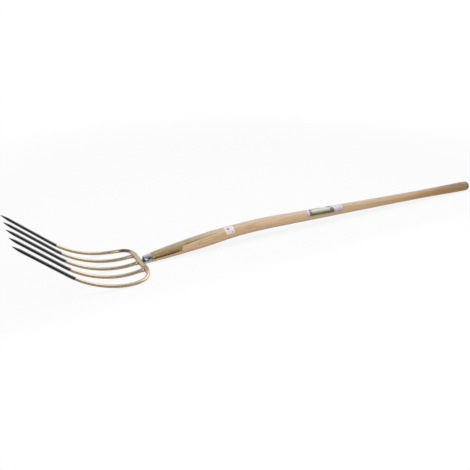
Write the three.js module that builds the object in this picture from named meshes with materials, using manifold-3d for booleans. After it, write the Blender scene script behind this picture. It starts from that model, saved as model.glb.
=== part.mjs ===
// A garden fork for manure and straw: five long curved tines on a bent ash handle.
// It lies on its back with the tines pointing up. +X runs from the tines to the handle's butt and
// +Z is up. The origin is on the ground under the middle of its length. Sizes are in millimetres.

import * as THREE from 'three';
import { mergeVertices } from 'three/addons/utils/BufferGeometryUtils.js';
import Module from 'manifold-3d';

const wasm = await Module();
wasm.setup();
const degrees = Math.PI / 180;

// Fits: the gap between touching pieces, and how far a cut runs past what it cuts
const fit = 0.3;
const overrun = 5;

// Tines: the side view is one arc from the root to the straight point
const headWidth = 200;
const tineLength = 380;
const tineCurveRadius = 246;
const rootDip = 10.3 * degrees;
const tineLift = 43 * degrees;
const tineRadius = 4.9;
const dippedRadius = 3.8;
const pointLength = 26;
const pointRadius = 0.5;
const rootFlare = 0.7;
const rootFlareReach = 32;
const rootEnd = 2.4;
const outerSwellShare = 0.04;
const outerSwellReach = 220;
const innerPinchShare = 0.11;
const innerPinchReach = 150;
const tineStep = 20;
const tineSides = 12;

// Shoulder: the outer tines and the crosspiece are one bar, bent round at both corners
const rootSetback = 13;
const shoulderDepth = 80;
const cornerReachShare = 1.14;
const backReachShare = 0.71;
const crosspieceRadius = 7.6;
const crosspieceReach = 80;
const crosspieceTaper = 40;
const shoulderReach = 190;
const shoulderStep = 10;

// Dip: the black coat on the end of each tine
const dipLength = 172;
const coatThickness = 0.5;
const coreSetback = 5;
const coatStep = 34;
const stepRun = 0.2;

// Welds at the tines' roots and at the tang
const weldSeatShare = 0.55;
const weldLength = 9;
const weldThroat = 1.6;
const weldToe = 0.4;
const weldSteps = 3;

// Neck of the handle: a straight stretch, where the ferrule, tang and strap are
const neckHeight = 12.6;
const neckAngle = 5.85 * degrees;
const neckLength = 229;

// Ferrule: its front is drawn in to a round nose, with a hole for the tang
const ferruleLength = 19;
const ferruleRadius = 13.2;
const ferruleWall = 1.2;
const noseReach = 3;
const noseRun = 3;
const noseRadius = 12.7;
const noseHole = 7;
const noseSteps = 5;
const crownPlace = 9;
const ferruleLip = 0.5;
const endSetback = 3;

// Tang: the spike of the head, driven into the handle
const tangDepth = 112;
const tangArm = 6;
const tangLift = 1.5;
const tangRootRadius = 5.7;
const tangShank = 4.3;
const tangTip = 1.8;
const squareRun = 14;
const tangSides = 16;
const tangStep = 12;

// Strap: a half socket over the neck with a tongue along the handle's top
const strapFront = 12;
const strapThickness = 1.4;
const strapProud = 0.4;
const joggleRun = 3;
const wingEnd = 105;
const wingDrop = 1;
const tongueEnd = 236;
const tongueRoot = 14.2;
const tongueTip = 12.5;
const cornerFillet = 2;
const roundSteps = 6;

// Pins: one across the ferrule and tang, and two nails through the strap
const pinPlace = 8;
const pinRadius = 1.8;
const pinHeadRadius = 3.2;
const pinHeadHeight = 1.3;
const frontNailPlace = 128;
const rearNailPlace = 214;
const nailRadius = 1.4;
const nailHeadRadius = 3;
const nailHeadHeight = 0.9;
const nailLength = 24;
const nailPoint = 5;
const headShares = [[0, 1], [0.6, 0.85], [1, 0.4], [1, 0]];
const pinSides = 12;

// Handle: its centre line bends once, and its girth changes from place to place along it
const handleLength = 1335;
const bendLength = 197;
const neckRadius = 13.4;
const socketPlace = 60;
const socketRadius = 15.9;
const wingRadius = 18;
const swellPlace = 200;
const swellRadius = 20.1;
const waistPlace = 300;
const waistEnd = 400;
const waistRadius = 18.7;
const shaftPlace = 500;
const shaftRadius = 18;
const middlePlace = 750;
const middleRadius = 16.6;
const gripPlace = 1000;
const gripEnd = 1100;
const gripRadius = 15.3;
const flarePlace = 1300;
const buttRadius = 17.5;
const buttRound = 6;
const buttFlatRadius = 11.5;
const girths = [
  { at: ferruleLength, radius: neckRadius },
  { at: socketPlace, radius: socketRadius },
  { at: wingEnd, radius: wingRadius },
  { at: swellPlace, radius: swellRadius },
  { at: waistPlace, radius: waistRadius },
  { at: waistEnd, radius: waistRadius },
  { at: shaftPlace, radius: shaftRadius },
  { at: middlePlace, radius: middleRadius },
  { at: gripPlace, radius: gripRadius },
  { at: gripEnd, radius: gripRadius },
  { at: flarePlace, radius: buttRadius },
  { at: handleLength, radius: buttRadius },
];
const handleSides = 24;
const neckStep = 24;
const gripStep = 75;

// Labels: thin skins on the handle
const paperThickness = 0.4;
const stickerStart = 253;
const stickerLength = 28;
const stickerWidth = 26;
const stickerCorner = 4;
const stickerTurn = 40 * degrees;
const wrapStart = 545;
const wrapLength = 151;
const wrapDrop = 1.6;
const labelStep = 15;

// Colours
const finishes = {
  lacquer: { color: '#b3a27a', roughness: 0.35, metalness: 0.6 },
  dip: { color: '#232427', roughness: 0.4, metalness: 0.1 },
  zinc: { color: '#aab0b4', roughness: 0.35, metalness: 0.9 },
  ash: { color: '#d2b491', roughness: 0.55, metalness: 0 },
  weld: { color: '#9c8c66', roughness: 0.5, metalness: 0.6 },
  paper: { color: '#e6e0e6', roughness: 0.5, metalness: 0 },
  print: { color: '#a9a99a', roughness: 0.45, metalness: 0 },
};

// Small helpers
const mix = (from, to, share) => from + (to - from) * share;
const within = (share) => Math.min(Math.max(share, 0), 1);
const smooth = (share) => within(share) ** 2 * (3 - 2 * within(share));
const up = new THREE.Vector3(0, 0, 1);

// Even stations from one place to another, about a step apart
function spread(from, to, step) {
  const count = Math.max(1, Math.round(Math.abs(to - from) / step));
  return Array.from({ length: count + 1 }, (unused, i) => mix(from, to, i / count));
}

// Stations joined into one rising list without doubles
function joined(...lists) {
  const rising = lists.flat().sort((a, b) => a - b);
  return rising.filter((station, i) => i === 0 || station - rising[i - 1] > stepRun / 2);
}

// A bar along a path: a unit cylinder with a ring laid on the path at each station
function bentBar(path, stations, radiusAt, sides) {
  const rings = stations.length - 1;
  const bar = new THREE.CylinderGeometry(1, 1, 1, sides, rings);
  const corners = bar.attributes.position;
  for (let i = 0; i < corners.count; i += 1) {
    const x = corners.getX(i);
    const z = corners.getZ(i);
    const station = stations[Math.round((corners.getY(i) + 0.5) * rings)];
    const { point, along } = path(station);
    const side = new THREE.Vector3().crossVectors(along, up).normalize();
    const lift = new THREE.Vector3().crossVectors(side, along);
    const radius = radiusAt(station, x, z);
    point.addScaledVector(side, x * radius).addScaledVector(lift, z * radius);
    corners.setXYZ(i, point.x, point.y, point.z);
  }
  return bar;
}

// A path by the distance along a curve, from its start or from its end
function alongCurve(curve, fromEnd = false) {
  const length = curve.getLength();
  return (distance) => {
    const share = within(fromEnd ? 1 - distance / length : distance / length);
    const along = curve.getTangentAt(share);
    return { point: curve.getPointAt(share), along: fromEnd ? along.negate() : along };
  };
}

// A turned shape about the X axis, from its outline in places along X and radii
function turned(outline, sides) {
  const profile = outline.map(([place, radius]) => new THREE.Vector2(radius, place));
  return new THREE.LatheGeometry(profile, sides).rotateZ(-Math.PI / 2);
}

// Geometry to solid and back, for the joins and cuts
function toSolid(geometry) {
  const bare = geometry.clone();
  bare.deleteAttribute('normal');
  bare.deleteAttribute('uv');
  const shell = mergeVertices(bare);
  const triangles = [];
  for (let i = 0; i < shell.index.count; i += 3) {
    const [a, b, c] = [0, 1, 2].map((k) => shell.index.getX(i + k));
    if (a !== b && b !== c && c !== a) triangles.push(a, b, c);
  }
  return new wasm.Manifold(
    new wasm.Mesh({
      numProp: 3,
      vertProperties: new Float32Array(shell.attributes.position.array),
      triVerts: new Uint32Array(triangles),
    }),
  );
}

function toGeometry(solid) {
  const shell = solid.getMesh();
  const geometry = new THREE.BufferGeometry();
  geometry.setAttribute('position', new THREE.BufferAttribute(shell.vertProperties, 3));
  geometry.setIndex(new THREE.BufferAttribute(shell.triVerts, 1));
  geometry.computeVertexNormals();
  return geometry;
}

function cut(body, ...cutters) {
  return toGeometry(cutters.reduce((rest, cutter) => rest.subtract(toSolid(cutter)), toSolid(body)));
}

function common(body, cutter) {
  return toGeometry(toSolid(body).intersect(toSolid(cutter)));
}

function addPiece(group, name, geometry, finish) {
  const piece = new THREE.Mesh(geometry, new THREE.MeshStandardMaterial(finishes[finish]));
  piece.name = name;
  group.add(piece);
  return piece;
}

// The side view of a tine by the distance from its root. The lowest point of its belly is on the ground.
const rootX = -rootSetback;
const rootHeight = tineRadius + tineCurveRadius * (1 - Math.cos(rootDip));
const arcLength = tineCurveRadius * (tineLift + rootDip);

function sideView(distance) {
  const heading = Math.min(distance, arcLength) / tineCurveRadius - rootDip;
  const straight = Math.max(distance - arcLength, 0);
  const forward = tineCurveRadius * (Math.sin(heading) + Math.sin(rootDip)) + straight * Math.cos(heading);
  const rise = tineCurveRadius * (Math.cos(rootDip) - Math.cos(heading)) + straight * Math.sin(heading);
  return { x: rootX - forward, z: rootHeight + rise };
}

// The heading of the belly's arc at a place ahead of the root, and its height there
const headingAt = (x) => Math.asin((rootX - x) / tineCurveRadius - Math.sin(rootDip));
const heightAt = (x) => rootHeight + tineCurveRadius * (Math.cos(rootDip) - Math.cos(headingAt(x)));

// How far a tine stands from the middle: order is -2 and 2 for the outer ones and 0 for the centre
function lateral(order, distance) {
  const place = (order * headWidth) / 4;
  const swell = outerSwellShare * within(1 - distance / outerSwellReach);
  const pinch = innerPinchShare * within(1 - distance / innerPinchReach) ** 2;
  return Math.abs(order) === 2 ? place * (1 + swell) : place * (1 - pinch);
}

function tinePoint(order, distance) {
  const { x, z } = sideView(distance);
  return new THREE.Vector3(x, lateral(order, distance), z);
}

// An inner tine's centre line, from its tip to its root inside the crosspiece
function innerCurve(order) {
  const points = spread(tineLength, rootEnd, tineStep).map((distance) => tinePoint(order, distance));
  return new THREE.CatmullRomCurve3(points, false, 'centripetal');
}

// The bow's centre line, from the tip of one outer tine round the shoulder to the other tip
function bowCurve() {
  const cornerX = rootX - shoulderDepth;
  const cornerDistance = tineCurveRadius * (headingAt(cornerX) + rootDip);
  const cornerY = lateral(2, cornerDistance);
  const plan = new THREE.CubicBezierCurve(
    new THREE.Vector2(cornerX, cornerY),
    new THREE.Vector2(cornerX + shoulderDepth * cornerReachShare, cornerY),
    new THREE.Vector2(rootX, cornerY * backReachShare),
    new THREE.Vector2(rootX, 0),
  );
  const tine = spread(tineLength, cornerDistance, tineStep).map((distance) => tinePoint(2, distance));
  const cornerCount = Math.round(plan.getLength() / shoulderStep);
  const corner = plan.getSpacedPoints(cornerCount).slice(1);
  const half = [...tine, ...corner.map(({ x, y }) => new THREE.Vector3(x, y, heightAt(x)))];
  const mirrored = half.slice(0, -1).map(({ x, y, z }) => new THREE.Vector3(x, -y, z));
  return new THREE.CatmullRomCurve3([...mirrored, ...half.reverse()], false, 'centripetal');
}

// Radii by the distance from the tip: the dipped outside, and the steel with its step under the coat
function outsideRadius(fromTip) {
  const point = Math.sin((within(fromTip / pointLength) * Math.PI) / 2);
  const body = mix(dippedRadius, tineRadius, within((fromTip - pointLength) / (tineLength - pointLength)));
  return mix(pointRadius, body, point);
}

function steelRadius(fromTip) {
  const clear = 1 - within((fromTip - dipLength - fit) / stepRun);
  return outsideRadius(fromTip) - (coatThickness + fit) * clear;
}

// Stations of a tine from its tip: the point and the dipped stretch, which steel and coat share
const needleShares = [0, 0.06, 0.14];
const pointShares = [0.25, 0.45, 0.7, 1];
const dippedStations = [
  ...pointShares.map((share) => pointLength * share),
  ...spread(pointLength, dipLength, coatStep),
];

// Stations of a tine's steel, which stops short inside the coat
function steelStations(length, step) {
  const dipEnd = dipLength + fit;
  return joined([coreSetback, dipEnd], dippedStations, spread(dipEnd + stepRun, length, step));
}

// Bow: two outer tines and the crosspiece in one bar
const bow = bowCurve();
const bowHalf = bow.getLength() / 2;
const bowPath = alongCurve(bow);
const bowTip = (distance) => Math.min(distance, 2 * bowHalf - distance);

function bowRadius(distance) {
  const steel = steelRadius(bowTip(distance));
  const fromMiddle = bowHalf - bowTip(distance);
  return mix(steel, crosspieceRadius, smooth((crosspieceReach - fromMiddle) / crosspieceTaper));
}

function bowBar(extra) {
  const shoulder = spread(bowHalf - shoulderReach, bowHalf, shoulderStep);
  const half = joined(steelStations(bowHalf - shoulderReach, tineStep), shoulder);
  const stations = joined(half, half.map((distance) => 2 * bowHalf - distance));
  return bentBar(bowPath, stations, (distance) => bowRadius(distance) + extra, tineSides);
}

// Inner tine, cut to the crosspiece at its root
function innerRadius(curve, fromTip) {
  const flare = rootFlare * smooth(1 - (curve.getLength() - fromTip) / rootFlareReach);
  return steelRadius(fromTip) + flare;
}

function innerTine(curve, extra) {
  const stations = steelStations(curve.getLength(), tineStep);
  return bentBar(alongCurve(curve), stations, (place) => innerRadius(curve, place) + extra, tineSides);
}

// Dip coat: a sleeve closed round the tip
function dipCoat(path) {
  const needle = needleShares.map((share) => pointLength * share);
  const outside = bentBar(path, joined(needle, dippedStations), outsideRadius, tineSides);
  const hollow = joined([coreSetback - fit, dipLength + overrun], dippedStations);
  return cut(outside, bentBar(path, hollow, (place) => outsideRadius(place) - coatThickness, tineSides));
}

// Weld: a collar round a bar that ends on the crosspiece, thick at the seat and thin at its toe
function weldCollar(path, seat, toe, radiusAt) {
  const stations = spread(seat, toe, Math.abs(toe - seat) / weldSteps);
  const outside = (place) => {
    const share = (place - seat) / (toe - seat);
    return radiusAt(place) + fit + mix(weldThroat, weldToe, Math.sqrt(within(share)));
  };
  const past = Math.sign(toe - seat) * overrun;
  const hollow = spread(seat - past, toe + past, Math.abs(toe - seat));
  const collar = bentBar(path, stations.sort((a, b) => a - b), outside, tineSides);
  const bore = bentBar(path, hollow.sort((a, b) => a - b), (place) => radiusAt(place) + fit, tineSides);
  return cut(collar, bore, bowBar(fit));
}

// Handle's centre line: a straight neck, one bend, and a straight shaft that falls to the ground at the butt
function handleFall() {
  let fall = neckAngle / 3;
  for (let round = 0; round < 12; round += 1) {
    const bendRise = bendLength * Math.sin((neckAngle - fall) / 2);
    const top = neckHeight + neckLength * Math.sin(neckAngle) + bendRise;
    const buttPlace = handleLength - buttRound;
    fall = Math.asin((top - buttRadius / Math.cos(fall)) / (buttPlace - neckLength - bendLength));
  }
  return fall;
}

const shaftFall = handleFall();
const bendRadius = bendLength / (neckAngle + shaftFall);

function handlePath(distance) {
  const bent = Math.min(Math.max(distance - neckLength, 0), bendLength);
  const heading = neckAngle - bent / bendRadius;
  const neck = Math.min(distance, neckLength);
  const shaft = Math.max(distance - neckLength - bendLength, 0);
  const bendX = bendRadius * (Math.sin(neckAngle) - Math.sin(heading));
  const bendZ = bendRadius * (Math.cos(heading) - Math.cos(neckAngle));
  const x = neck * Math.cos(neckAngle) + bendX + shaft * Math.cos(heading);
  const z = neck * Math.sin(neckAngle) + bendZ + shaft * Math.sin(heading);
  return {
    point: new THREE.Vector3(x, 0, neckHeight + z),
    along: new THREE.Vector3(Math.cos(heading), 0, Math.sin(heading)),
  };
}

// Handle's girth, smooth between the named places, with a tenon in the ferrule and a rounded butt
const girthCurve = new THREE.SplineCurve(girths.map(({ at, radius }) => new THREE.Vector2(at, radius)));
const ferruleBore = noseRadius - ferruleWall;
const tenonRadius = ferruleBore - fit;

function girth(distance) {
  const next = girths.findIndex(({ at }) => at > distance);
  const k = next < 0 ? girths.length - 2 : Math.max(next - 1, 0);
  const leg = within((distance - girths[k].at) / (girths[k + 1].at - girths[k].at));
  return girthCurve.getPoint((k + leg) / (girths.length - 1)).y;
}

function handleRadius(distance) {
  if (distance <= ferruleLength + fit) return tenonRadius;
  const turn = within((distance - handleLength + buttRound) / buttRound);
  return mix(buttFlatRadius, girth(distance), Math.sqrt(1 - turn * turn));
}

const roundShares = [0, 0.35, 0.65, 0.85, 1];

function handleStations() {
  const step = ferruleLength + fit;
  return joined(
    [endSetback, pinPlace + pinRadius, step, step + stepRun],
    spread(step + stepRun, neckLength, neckStep),
    spread(neckLength, neckLength + bendLength, neckStep),
    spread(neckLength + bendLength, handleLength - buttRound, gripStep),
    roundShares.map((share) => handleLength - buttRound * (1 - share)),
  );
}

// Strap's outline in the neck's own frame: wings over the neck's upper half, then the tongue
function strapOutline(grow) {
  const wide = ferruleRadius + swellRadius;
  const end = wingEnd + grow;
  const root = tongueRoot + grow;
  const round = tongueTip + grow;
  const outline = new THREE.Shape();
  outline.moveTo(strapFront - grow, -wide);
  outline.lineTo(end, -wide);
  outline.lineTo(end, -root - cornerFillet);
  outline.quadraticCurveTo(end, -root, end + cornerFillet, -root);
  outline.lineTo(tongueEnd + grow - round, -round);
  outline.absarc(tongueEnd + grow - round, 0, round, -Math.PI / 2, Math.PI / 2, false);
  outline.lineTo(end + cornerFillet, root);
  outline.quadraticCurveTo(end, root, end, root + cornerFillet);
  outline.lineTo(end, wide);
  outline.lineTo(strapFront - grow, wide);
  const block = { depth: wide + wingDrop + grow, bevelEnabled: false, curveSegments: roundSteps };
  return new THREE.ExtrudeGeometry(outline, block).translate(0, 0, -wingDrop - grow);
}

function strapOutside(distance) {
  const joggle = smooth((distance - ferruleLength - fit) / joggleRun);
  return mix(tenonRadius, girth(Math.max(distance, ferruleLength)) + strapProud, joggle);
}

function strapShell(outerExtra, innerExtra, endExtra) {
  const places = joined(
    [strapFront - endExtra, ferruleLength + fit],
    spread(ferruleLength + fit, ferruleLength + fit + joggleRun, joggleRun / 3),
    spread(ferruleLength + fit + joggleRun, tongueEnd + endExtra, neckStep),
  );
  const outside = places.map((place) => [place, strapOutside(place) + outerExtra]);
  const inside = places.map((place) => [place, strapOutside(place) - strapThickness - innerExtra]).reverse();
  return turned([...outside, ...inside, outside[0]], handleSides);
}

// The ferrule's nose: a quarter of an ellipse from the hole for the tang to the ring
function noseArc(inset) {
  return spread(0, 1, 1 / noseSteps).map((share) => {
    const turn = (share * Math.PI) / 2;
    const place = noseRun - (noseRun + noseReach - inset) * Math.cos(turn);
    return [place, mix(noseHole, noseRadius - inset, Math.sin(turn))];
  });
}

// Ferrule: the round nose and the ring, in one wall with an even bore
function ferruleRing() {
  const outline = [
    ...noseArc(0),
    [crownPlace, ferruleRadius],
    [ferruleLength - ferruleLip, ferruleRadius],
    [ferruleLength, ferruleRadius - ferruleLip],
    [ferruleLength, ferruleBore],
    ...noseArc(ferruleWall).reverse(),
    [-noseReach, noseHole],
  ];
  return turned(outline, handleSides);
}

// The outline of a low round head, from its seat to its top
function lowHead(seat, height, radius) {
  return headShares.map(([rise, width]) => [seat + height * rise, radius * width]);
}

// Pin with a low round head at both ends, across the ferrule
function ferrulePin() {
  const seat = ferruleRadius + fit;
  const head = [[seat, pinRadius], ...lowHead(seat, pinHeadHeight, pinHeadRadius)];
  const other = head.map(([place, radius]) => [-place, radius]).reverse();
  return turned([...other, ...head], pinSides).rotateZ(Math.PI / 2);
}

// Nail with a low head, point down
function strapNail(place) {
  const seat = strapOutside(place) + fit;
  const outline = [
    [seat - nailLength, 0],
    [seat - nailLength + nailPoint, nailRadius],
    [seat, nailRadius],
    ...lowHead(seat, nailHeadHeight, nailHeadRadius),
  ];
  return turned(outline, pinSides).rotateY(-Math.PI / 2);
}

function roundHole(radius, from, to) {
  return new THREE.CylinderGeometry(radius, radius, to - from, pinSides).translate(0, (from + to) / 2, 0);
}

// Tang: from the crosspiece up into the ferrule, then a square taper along the neck
const tangStart = new THREE.Vector3(rootX, 0, rootHeight);
const neckDirection = handlePath(0).along;
const tangEntry = handlePath(endSetback).point;
const tangEnd = handlePath(tangDepth).point;
const tangBend = new THREE.CubicBezierCurve3(
  tangStart,
  tangStart.clone().add(new THREE.Vector3(tangArm, 0, tangLift)),
  tangEntry.clone().addScaledVector(neckDirection, -tangArm),
  tangEntry,
);
const tangRun = tangBend.getLength();

function tangPath(distance) {
  if (distance > tangRun) {
    const point = tangEntry.clone().addScaledVector(neckDirection, distance - tangRun);
    return { point, along: neckDirection.clone() };
  }
  return alongCurve(tangBend)(distance);
}

// The tang's radius towards a point of the unit circle: round at the root, then square
function tangRadius(distance, x, z, extra) {
  const square = smooth((distance - tangRun) / squareRun);
  const shank = mix(tangRootRadius, tangShank, within(distance / (tangRun + squareRun)));
  const spike = within((distance - tangRun - squareRun) / (tangDepth - endSetback - squareRun));
  const flat = Math.max(Math.abs(x), Math.abs(z)) || 1;
  return (mix(shank, tangTip, spike) + extra) * mix(1, 1 / flat, square);
}

function tangBar(extra, past) {
  const stations = joined(
    spread(0, tangRun, tangArm / 2),
    spread(tangRun, tangRun + squareRun, squareRun / 3),
    spread(tangRun + squareRun, tangRun + tangDepth - endSetback + past, tangStep * 2),
  );
  return bentBar(tangPath, stations, (distance, x, z) => tangRadius(distance, x, z, extra), tangSides);
}

// A skin on the handle between two places
function handleSkin(start, end) {
  const stations = spread(start, end, labelStep);
  const past = spread(start - overrun, end + overrun, labelStep);
  const outside = (place) => handleRadius(place) + fit + paperThickness;
  const inside = (place) => handleRadius(place) + fit;
  return cut(
    bentBar(handlePath, stations, outside, handleSides),
    bentBar(handlePath, past, inside, handleSides),
  );
}

// A rectangle with rounded corners, about the origin
function roundedShape(long, wide) {
  const [x, y, corner] = [long / 2, wide / 2, stickerCorner];
  const shape = new THREE.Shape();
  shape.moveTo(corner - x, -y);
  shape.lineTo(x - corner, -y);
  shape.quadraticCurveTo(x, -y, x, corner - y);
  shape.lineTo(x, y - corner);
  shape.quadraticCurveTo(x, y, x - corner, y);
  shape.lineTo(corner - x, y);
  shape.quadraticCurveTo(-x, y, -x, y - corner);
  shape.lineTo(-x, corner - y);
  shape.quadraticCurveTo(-x, -y, corner - x, -y);
  return shape;
}

// The frame of the handle at a place: X along it, Z up from its centre line
function handleFrame(place) {
  const { point, along } = handlePath(place);
  const turn = new THREE.Matrix4().makeRotationY(-Math.atan2(along.z, along.x));
  return turn.setPosition(point);
}

// Assembly
const fork = new THREE.Group();
const neck = new THREE.Group();
neck.position.z = neckHeight;
neck.rotation.y = -neckAngle;
fork.add(neck);
const neckFrame = handleFrame(0);

// Head
addPiece(fork, 'tine_bow', bowBar(0), 'lacquer');
const innerNames = { '-1': 'near_inner_tine', 0: 'centre_tine', 1: 'far_inner_tine' };
for (const order of [-1, 0, 1]) {
  const curve = innerCurve(order);
  const name = innerNames[order];
  const length = curve.getLength();
  const seat = length + rootEnd - crosspieceRadius * weldSeatShare;
  addPiece(fork, name, cut(innerTine(curve, 0), bowBar(fit)), 'lacquer');
  const weld = weldCollar(alongCurve(curve), seat, seat - weldLength, (place) => innerRadius(curve, place));
  addPiece(fork, `${name}_weld`, weld, 'weld');
  addPiece(fork, `${name}_dip`, dipCoat(alongCurve(curve)), 'dip');
}
addPiece(fork, 'near_outer_tine_dip', dipCoat(alongCurve(bow)), 'dip');
addPiece(fork, 'far_outer_tine_dip', dipCoat(alongCurve(bow, true)), 'dip');

// Tang with the hole for the pin, and its weld
const pinBore = roundHole(pinRadius + fit, -ferruleRadius - overrun, ferruleRadius + overrun);
pinBore.translate(pinPlace, 0, 0);
const placedPinBore = pinBore.clone().applyMatrix4(neckFrame);
addPiece(fork, 'tang', cut(tangBar(0, 0), bowBar(fit), placedPinBore), 'lacquer');
const tangSeat = crosspieceRadius * weldSeatShare;
const tangToe = tangSeat + weldLength / 2;
const tangGirth = (place) => tangRadius(place, 1, 0, 0);
addPiece(fork, 'tang_weld', weldCollar(tangPath, tangSeat, tangToe, tangGirth), 'weld');

// Ferrule, strap and their pins, in the neck's frame
addPiece(neck, 'ferrule', cut(ferruleRing(), pinBore), 'zinc');
addPiece(neck, 'ferrule_pin', ferrulePin(), 'zinc').position.x = pinPlace;
const nailBores = [];
for (const [name, place] of [['strap_nail_front', frontNailPlace], ['strap_nail_rear', rearNailPlace]]) {
  addPiece(neck, name, strapNail(place), 'lacquer').position.x = place;
  const top = swellRadius + overrun;
  const bottom = strapOutside(place) - nailLength;
  const bore = roundHole(nailRadius + fit, bottom, top).rotateX(Math.PI / 2).translate(place, 0, 0);
  nailBores.push(bore);
}
const strapBlank = common(strapShell(0, 0, 0), strapOutline(0));
addPiece(neck, 'handle_strap', cut(strapBlank, ...nailBores), 'lacquer');

// Handle with its socket for the tang, the bed of the strap and the holes of the pins
const strapBed = common(strapShell(overrun, fit, fit), strapOutline(fit));
const placedCutters = [strapBed, ...nailBores].map((cutter) => cutter.clone().applyMatrix4(neckFrame));
const handleBar = bentBar(handlePath, handleStations(), handleRadius, handleSides);
addPiece(fork, 'handle', cut(handleBar, tangBar(fit, fit), placedPinBore, ...placedCutters), 'ash');

// Small sticker, on the side of the handle behind the strap
const stickerDepth = { depth: swellRadius + overrun, bevelEnabled: false, curveSegments: roundSteps };
const stickerCutter = new THREE.ExtrudeGeometry(roundedShape(stickerLength, stickerWidth), stickerDepth);
const stickerPlace = handleFrame(stickerStart + stickerLength / 2);
stickerCutter.rotateX(Math.PI / 2 - stickerTurn).applyMatrix4(stickerPlace);
const stickerSkin = handleSkin(stickerStart - overrun, stickerStart + stickerLength + overrun);
addPiece(fork, 'size_sticker', common(stickerSkin, stickerCutter), 'paper');

// Wrap label, over the upper half of the shaft
const wrapReach = swellRadius + overrun;
const wrapCutter = new THREE.BoxGeometry(wrapLength + 2 * overrun, 2 * wrapReach, wrapReach);
wrapCutter.translate(0, 0, wrapReach / 2 - wrapDrop).applyMatrix4(handleFrame(wrapStart + wrapLength / 2));
addPiece(fork, 'wrap_label', common(handleSkin(wrapStart, wrapStart + wrapLength), wrapCutter), 'print');

// The origin goes under the middle of the fork's length
const buttX = handlePath(handleLength).point.x;
const tipX = sideView(tineLength).x;
fork.position.x = -(buttX + tipX) / 2;

export default fork;
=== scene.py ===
# Garden fork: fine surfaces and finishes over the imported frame. Metres, +Z up, tines towards -X.

import math

import bmesh
import bpy
from mathutils import Matrix, Vector, noise


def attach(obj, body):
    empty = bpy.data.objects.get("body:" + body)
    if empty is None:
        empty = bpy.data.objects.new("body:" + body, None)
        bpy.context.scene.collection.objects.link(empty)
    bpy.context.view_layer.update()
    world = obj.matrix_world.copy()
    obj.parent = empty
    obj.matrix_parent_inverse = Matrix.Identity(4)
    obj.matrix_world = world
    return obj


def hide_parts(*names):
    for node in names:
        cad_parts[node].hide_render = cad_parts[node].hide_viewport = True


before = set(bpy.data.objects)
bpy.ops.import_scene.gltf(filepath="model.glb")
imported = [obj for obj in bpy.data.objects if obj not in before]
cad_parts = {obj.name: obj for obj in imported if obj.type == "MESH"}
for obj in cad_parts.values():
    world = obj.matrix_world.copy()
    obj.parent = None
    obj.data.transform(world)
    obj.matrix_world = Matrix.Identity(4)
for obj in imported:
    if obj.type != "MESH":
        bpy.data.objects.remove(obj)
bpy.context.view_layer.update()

MM = 0.001
UP = Vector((0, 0, 1))

# Tines: the side view is one arc from the root, then straight to the tip
head_width = 200 * MM
tine_length = 380 * MM
tine_curve_radius = 246 * MM
root_dip = math.radians(10.3)
tine_lift = math.radians(43)
tine_radius = 4.9 * MM
dipped_radius = 3.8 * MM
point_length = 26 * MM
point_radius = 0.5 * MM
root_flare = 0.7 * MM
root_flare_reach = 32 * MM
outer_swell_share = 0.04
outer_swell_reach = 220 * MM
inner_pinch_share = 0.11
inner_pinch_reach = 150 * MM
point_step = 3 * MM
steel_step = 4 * MM
tine_sides = 28

# Shoulder: the outer tines and the crosspiece are one bar, bent round at both corners
root_setback = 13 * MM
shoulder_depth = 80 * MM
corner_reach_share = 1.14
back_reach_share = 0.71
crosspiece_radius = 7.6 * MM
crosspiece_reach = 80 * MM
crosspiece_taper = 40 * MM
corner_steps = 40
bow_step = 3.6 * MM

# Dip: the black coat on the end of each tine, with the steel a little thinner under it
dip_length = 172 * MM
core_setback = 5 * MM
core_inset = 0.12 * MM
core_inset_run = 3 * MM
tip_step = 1.3 * MM
rim_length = 3 * MM
rim_step = 0.6 * MM
lip_length = 1.1 * MM
lip_drop = 0.45 * MM
lip_stations = [0.8 * MM, 0.5 * MM, 0.25 * MM, 0.08 * MM, 0]
edge_waver = 2.2 * MM
edge_reach = 30 * MM
edge_setback = 1.5 * MM
far_edge_setback = 6 * MM

# Welds: flared beads round the tines' roots and the tang
weld_seat = 4 * MM
weld_length = 11 * MM
tang_weld_length = 5.6 * MM
weld_width = 9 * MM
weld_height = 6.5 * MM
tang_weld_height = 6.4 * MM
weld_skin = 0.06 * MM
ripple_height = 0.1 * MM
ripple_count = 22
ripple_lean = 9
lump_height = 0.35 * MM
weld_step = 0.7 * MM
weld_sides = 88

# Neck, ferrule and tang
neck_height = 12.6 * MM
neck_angle = math.radians(5.85)
neck_length = 229 * MM
fit = 0.3 * MM
ferrule_length = 19 * MM
ferrule_radius = 13.2 * MM
ferrule_wall = 1.2 * MM
nose_reach = 3 * MM
nose_run = 3 * MM
nose_radius = 12.7 * MM
nose_hole = 7 * MM
crown_shares = ((5 * MM, 0.45), (7 * MM, 0.8), (9 * MM, 1), (12 * MM, 1))
rear_drops = ((4 * MM, 0), (1 * MM, 0), (0.5 * MM, 0.05 * MM), (0.2 * MM, 0.2 * MM), (0, 0.5 * MM))
bore_bevel = 0.3 * MM
nose_steps = 14
ferrule_sides = 96
end_setback = 3 * MM
tang_depth = 112 * MM
tang_arm = 6 * MM
tang_lift = 1.5 * MM
tang_root_radius = 5.7 * MM
tang_shank = 4.3 * MM
tang_tip = 1.8 * MM
square_run = 14 * MM
square_share = 0.9
tang_bend_steps = 16
tang_bend_step = 1.2 * MM
tang_sides = 32

# Strap: a half socket over the neck with a tongue along the handle's top
strap_front = 12 * MM
strap_thickness = 1.4 * MM
strap_proud = 0.4 * MM
joggle_run = 3 * MM
wing_end = 105 * MM
wing_drop = 1 * MM
wing_step = 2.5 * MM
wing_edge_start = 21.5 * MM
wing_edge_slope = 0.082
tongue_end = 236 * MM
tongue_root = 14.2 * MM
tongue_tip = 12.5 * MM
tongue_step = 4 * MM
tip_steps = 12
corner_fillet = 2 * MM
fillet_steps = 5
bed_setback = 3 * MM
bed_slack = 0.01
strap_facets = (3 * MM, 2.4 * MM)

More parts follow.
